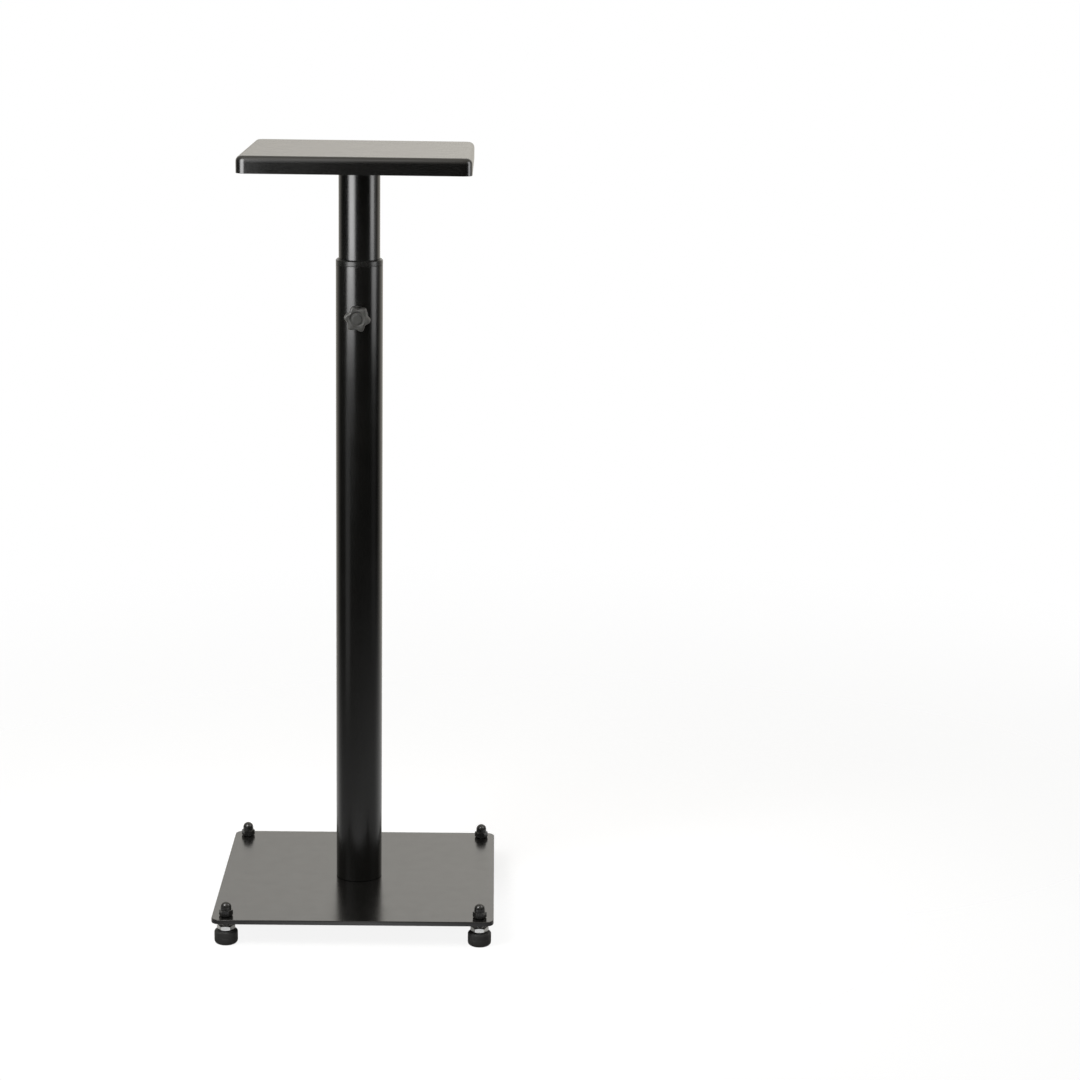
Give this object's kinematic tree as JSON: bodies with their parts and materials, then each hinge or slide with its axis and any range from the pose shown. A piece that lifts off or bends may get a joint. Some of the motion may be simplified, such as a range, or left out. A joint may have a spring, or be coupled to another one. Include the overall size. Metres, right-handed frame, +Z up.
{
  "type": "height-adjustable speaker stand",
  "caption": "Height-adjustable speaker stand: square floor plate on levelling feet, telescopic column with star-knob clamp, square pressed tray on top.",
  "frame": {"origin": "on the floor under the column's axis, which is the centre of the floor plate", "axes": "+Z up, +X to the right seen from the knob's side, -Y towards the viewer in front of the knob"},
  "size_m": [0.3, 0.3, 0.8331],
  "materials": {
    "black_coat": "satin black powder coat",
    "black_plastic": "moulded black plastic, slightly grained",
    "collar_plastic": "moulded dark plastic, matt",
    "nylon": "natural nylon",
    "rubber": "black rubber",
    "zinc": "bright zinc plate",
    "black_steel": "black finish on steel, semi-gloss"
  },
  "bodies": {
    "base_and_column": {"base_plate": "black_coat", "outer_tube": "black_coat", "base_plug": "zinc", "guide_collar": "collar_plastic", "clamp_boss": "black_coat", "column_washer_front_left": "zinc", "column_washer_front_right": "zinc", "column_washer_back_left": "zinc", "column_washer_back_right": "zinc", "column_screw_front_left": "zinc", "column_screw_front_right": "zinc", "column_screw_back_left": "zinc", "column_screw_back_right": "zinc", "cap_nut_front_left": "black_steel", "cap_nut_front_right": "black_steel", "cap_nut_back_left": "black_steel", "cap_nut_back_right": "black_steel"},
    "glide": {"glide_bush": "nylon"},
    "post_and_tray": {"inner_tube": "black_coat", "top_flange": "black_coat", "top_plate": "black_coat", "top_screw_front_left": "zinc", "top_screw_front_right": "zinc", "top_screw_back_left": "zinc", "top_screw_back_right": "zinc", "top_washer_front_left": "zinc", "top_washer_front_right": "zinc", "top_washer_back_left": "zinc", "top_washer_back_right": "zinc", "weld_nut_front_left": "zinc", "weld_nut_front_right": "zinc", "weld_nut_back_left": "zinc", "weld_nut_back_right": "zinc"},
    "pressure_pad": {"clamp_pad": "nylon"},
    "star_knob": {"clamp_knob": "black_plastic", "clamp_screw": "zinc"},
    "foot_front_left": {"foot_pad_front_left": "rubber"},
    "stud_front_left": {"levelling_stud_front_left": "zinc"},
    "foot_front_right": {"foot_pad_front_right": "rubber"},
    "stud_front_right": {"levelling_stud_front_right": "zinc"},
    "foot_back_left": {"foot_pad_back_left": "rubber"},
    "stud_back_left": {"levelling_stud_back_left": "zinc"},
    "foot_back_right": {"foot_pad_back_right": "rubber"},
    "stud_back_right": {"levelling_stud_back_right": "zinc"}
  },
  "joints": [
    {"name": "column_height", "type": "slide", "parent": "base_and_column", "child": "glide", "axis": [0, 0, 1], "range_m": [-0.101, 0.288]},
    {"name": "column_swivel", "type": "hinge", "parent": "glide", "child": "post_and_tray", "pos_m": [0, 0, 0.5], "axis": [0, 0, 1], "continuous": true},
    {"name": "clamp_pad_travel", "type": "slide", "parent": "base_and_column", "child": "pressure_pad", "axis": [0, -1, 0], "range_m": [0, 0.00375]},
    {"name": "clamp_knob_turn", "type": "hinge", "parent": "pressure_pad", "child": "star_knob", "pos_m": [0, -0.034, 0.6588], "axis": [0, -1, 0], "range_deg": [0, 1075]},
    {"name": "foot_travel_front_left", "type": "slide", "parent": "base_and_column", "child": "foot_front_left", "axis": [0, 0, -1], "range_m": [-0.004, 0.004]},
    {"name": "stud_turn_front_left", "type": "hinge", "parent": "foot_front_left", "child": "stud_front_left", "pos_m": [-0.135, -0.135, 0.0182], "axis": [0, 0, -1], "range_deg": [-1152, 1152]},
    {"name": "foot_travel_front_right", "type": "slide", "parent": "base_and_column", "child": "foot_front_right", "axis": [0, 0, -1], "range_m": [-0.004, 0.004]},
    {"name": "stud_turn_front_right", "type": "hinge", "parent": "foot_front_right", "child": "stud_front_right", "pos_m": [0.135, -0.135, 0.0182], "axis": [0, 0, -1], "range_deg": [-1152, 1152]},
    {"name": "foot_travel_back_left", "type": "slide", "parent": "base_and_column", "child": "foot_back_left", "axis": [0, 0, -1], "range_m": [-0.004, 0.004]},
    {"name": "stud_turn_back_left", "type": "hinge", "parent": "foot_back_left", "child": "stud_back_left", "pos_m": [-0.135, 0.135, 0.0182], "axis": [0, 0, -1], "range_deg": [-1152, 1152]},
    {"name": "foot_travel_back_right", "type": "slide", "parent": "base_and_column", "child": "foot_back_right", "axis": [0, 0, -1], "range_m": [-0.004, 0.004]},
    {"name": "stud_turn_back_right", "type": "hinge", "parent": "foot_back_right", "child": "stud_back_right", "pos_m": [0.135, 0.135, 0.0182], "axis": [0, 0, -1], "range_deg": [-1152, 1152]}
  ],
  "couplings": [
    {"joint": "clamp_pad_travel", "follows": "clamp_knob_turn", "m_per_rad": 0.00019894},
    {"joint": "stud_turn_front_left", "follows": "foot_travel_front_left", "rad_per_m": 5026.5},
    {"joint": "stud_turn_front_right", "follows": "foot_travel_front_right", "rad_per_m": 5026.5},
    {"joint": "stud_turn_back_left", "follows": "foot_travel_back_left", "rad_per_m": 5026.5},
    {"joint": "stud_turn_back_right", "follows": "foot_travel_back_right", "rad_per_m": 5026.5}
  ]
}
